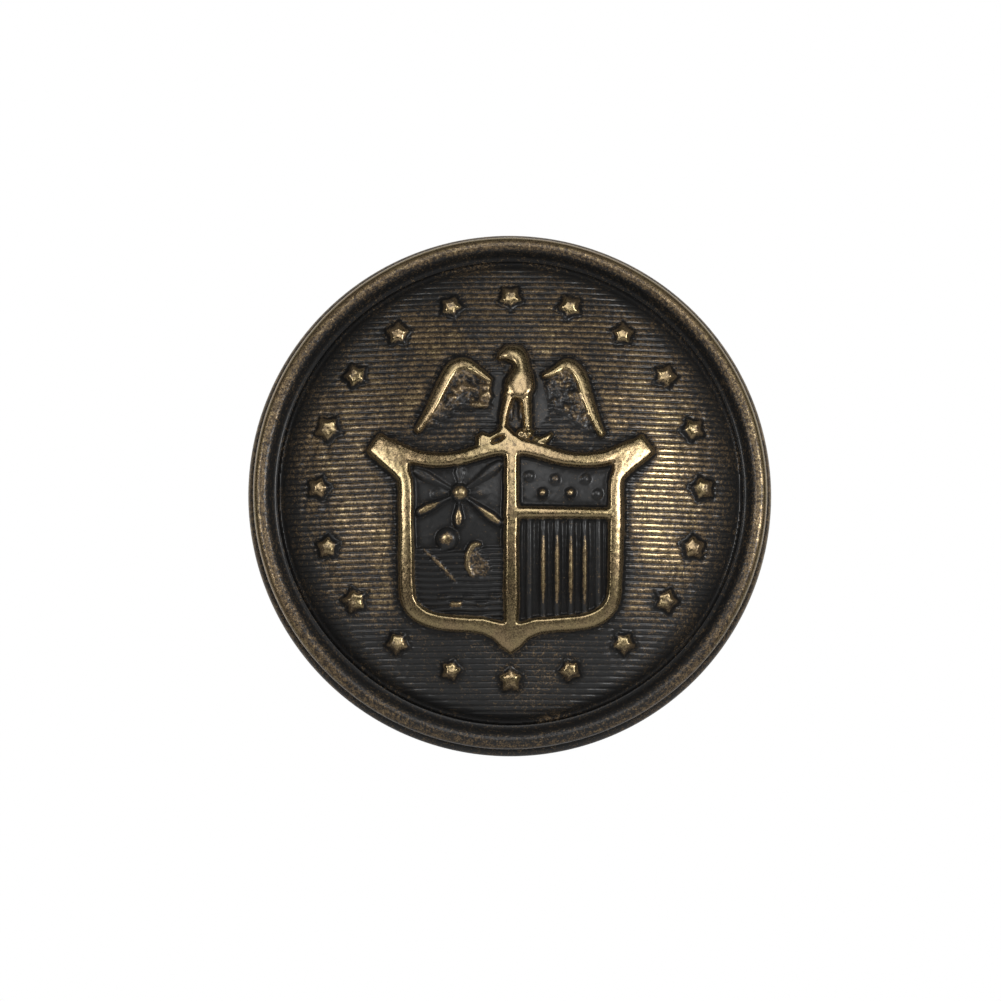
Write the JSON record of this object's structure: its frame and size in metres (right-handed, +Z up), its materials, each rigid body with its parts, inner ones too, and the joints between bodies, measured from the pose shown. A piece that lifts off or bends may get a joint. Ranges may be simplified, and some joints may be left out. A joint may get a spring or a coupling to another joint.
{
  "type": "cap badge",
  "caption": "Domed round brass badge with a struck shield-and-bird relief, rimmed edge and a threaded post, spurs, clamp plate and knurled nut that fix it to a cap.",
  "frame": {"origin": "on the screw post's axis, in the plane of the crimped edge that lies against the cap", "axes": "+Z up as worn, +Y out of the back along the screw post, the struck face looks along -Y, +X to the viewer's right"},
  "size_m": [0.0254, 0.0147, 0.0254],
  "materials": {
    "struck_brass": "antique: dark patina in the hollows, rubbed bright on the high spots",
    "back_brass": "dull aged brass",
    "post_brass": "turned, lightly tarnished",
    "clamp_brass": "rolled sheet, lightly scratched",
    "nut_brass": "turned and knurled",
    "bush_steel": "turned, plated",
    "tinned_steel": "dull tinned",
    "solder": "soft solder, dull grey",
    "card": "grey-brown pasteboard"
  },
  "bodies": {
    "badge": {"front_shell": "struck_brass", "dome_filler": "tinned_steel", "packing_ring": "card", "back_plate": "back_brass", "screw_post": "post_brass", "post_solder": "solder", "spur_pin_left": "post_brass", "spur_pin_right": "post_brass", "spur_solder": "solder"},
    "clamp": {"clamp_plate": "clamp_brass"},
    "nut": {"nut_disc": "nut_brass", "nut_bush": "bush_steel"}
  },
  "joints": [
    {"name": "plate_travel", "type": "slide", "parent": "badge", "child": "clamp", "axis": [0, 1, 0], "range_m": [-0.0022, 0.008]},
    {"name": "nut_turn", "type": "hinge", "parent": "clamp", "child": "nut", "pos_m": [0, 0, 0], "axis": [0, 1, 0], "range_deg": [-1585, 5761]}
  ],
  "couplings": [
    {"joint": "nut_turn", "follows": "plate_travel", "rad_per_m": 12566}
  ]
}
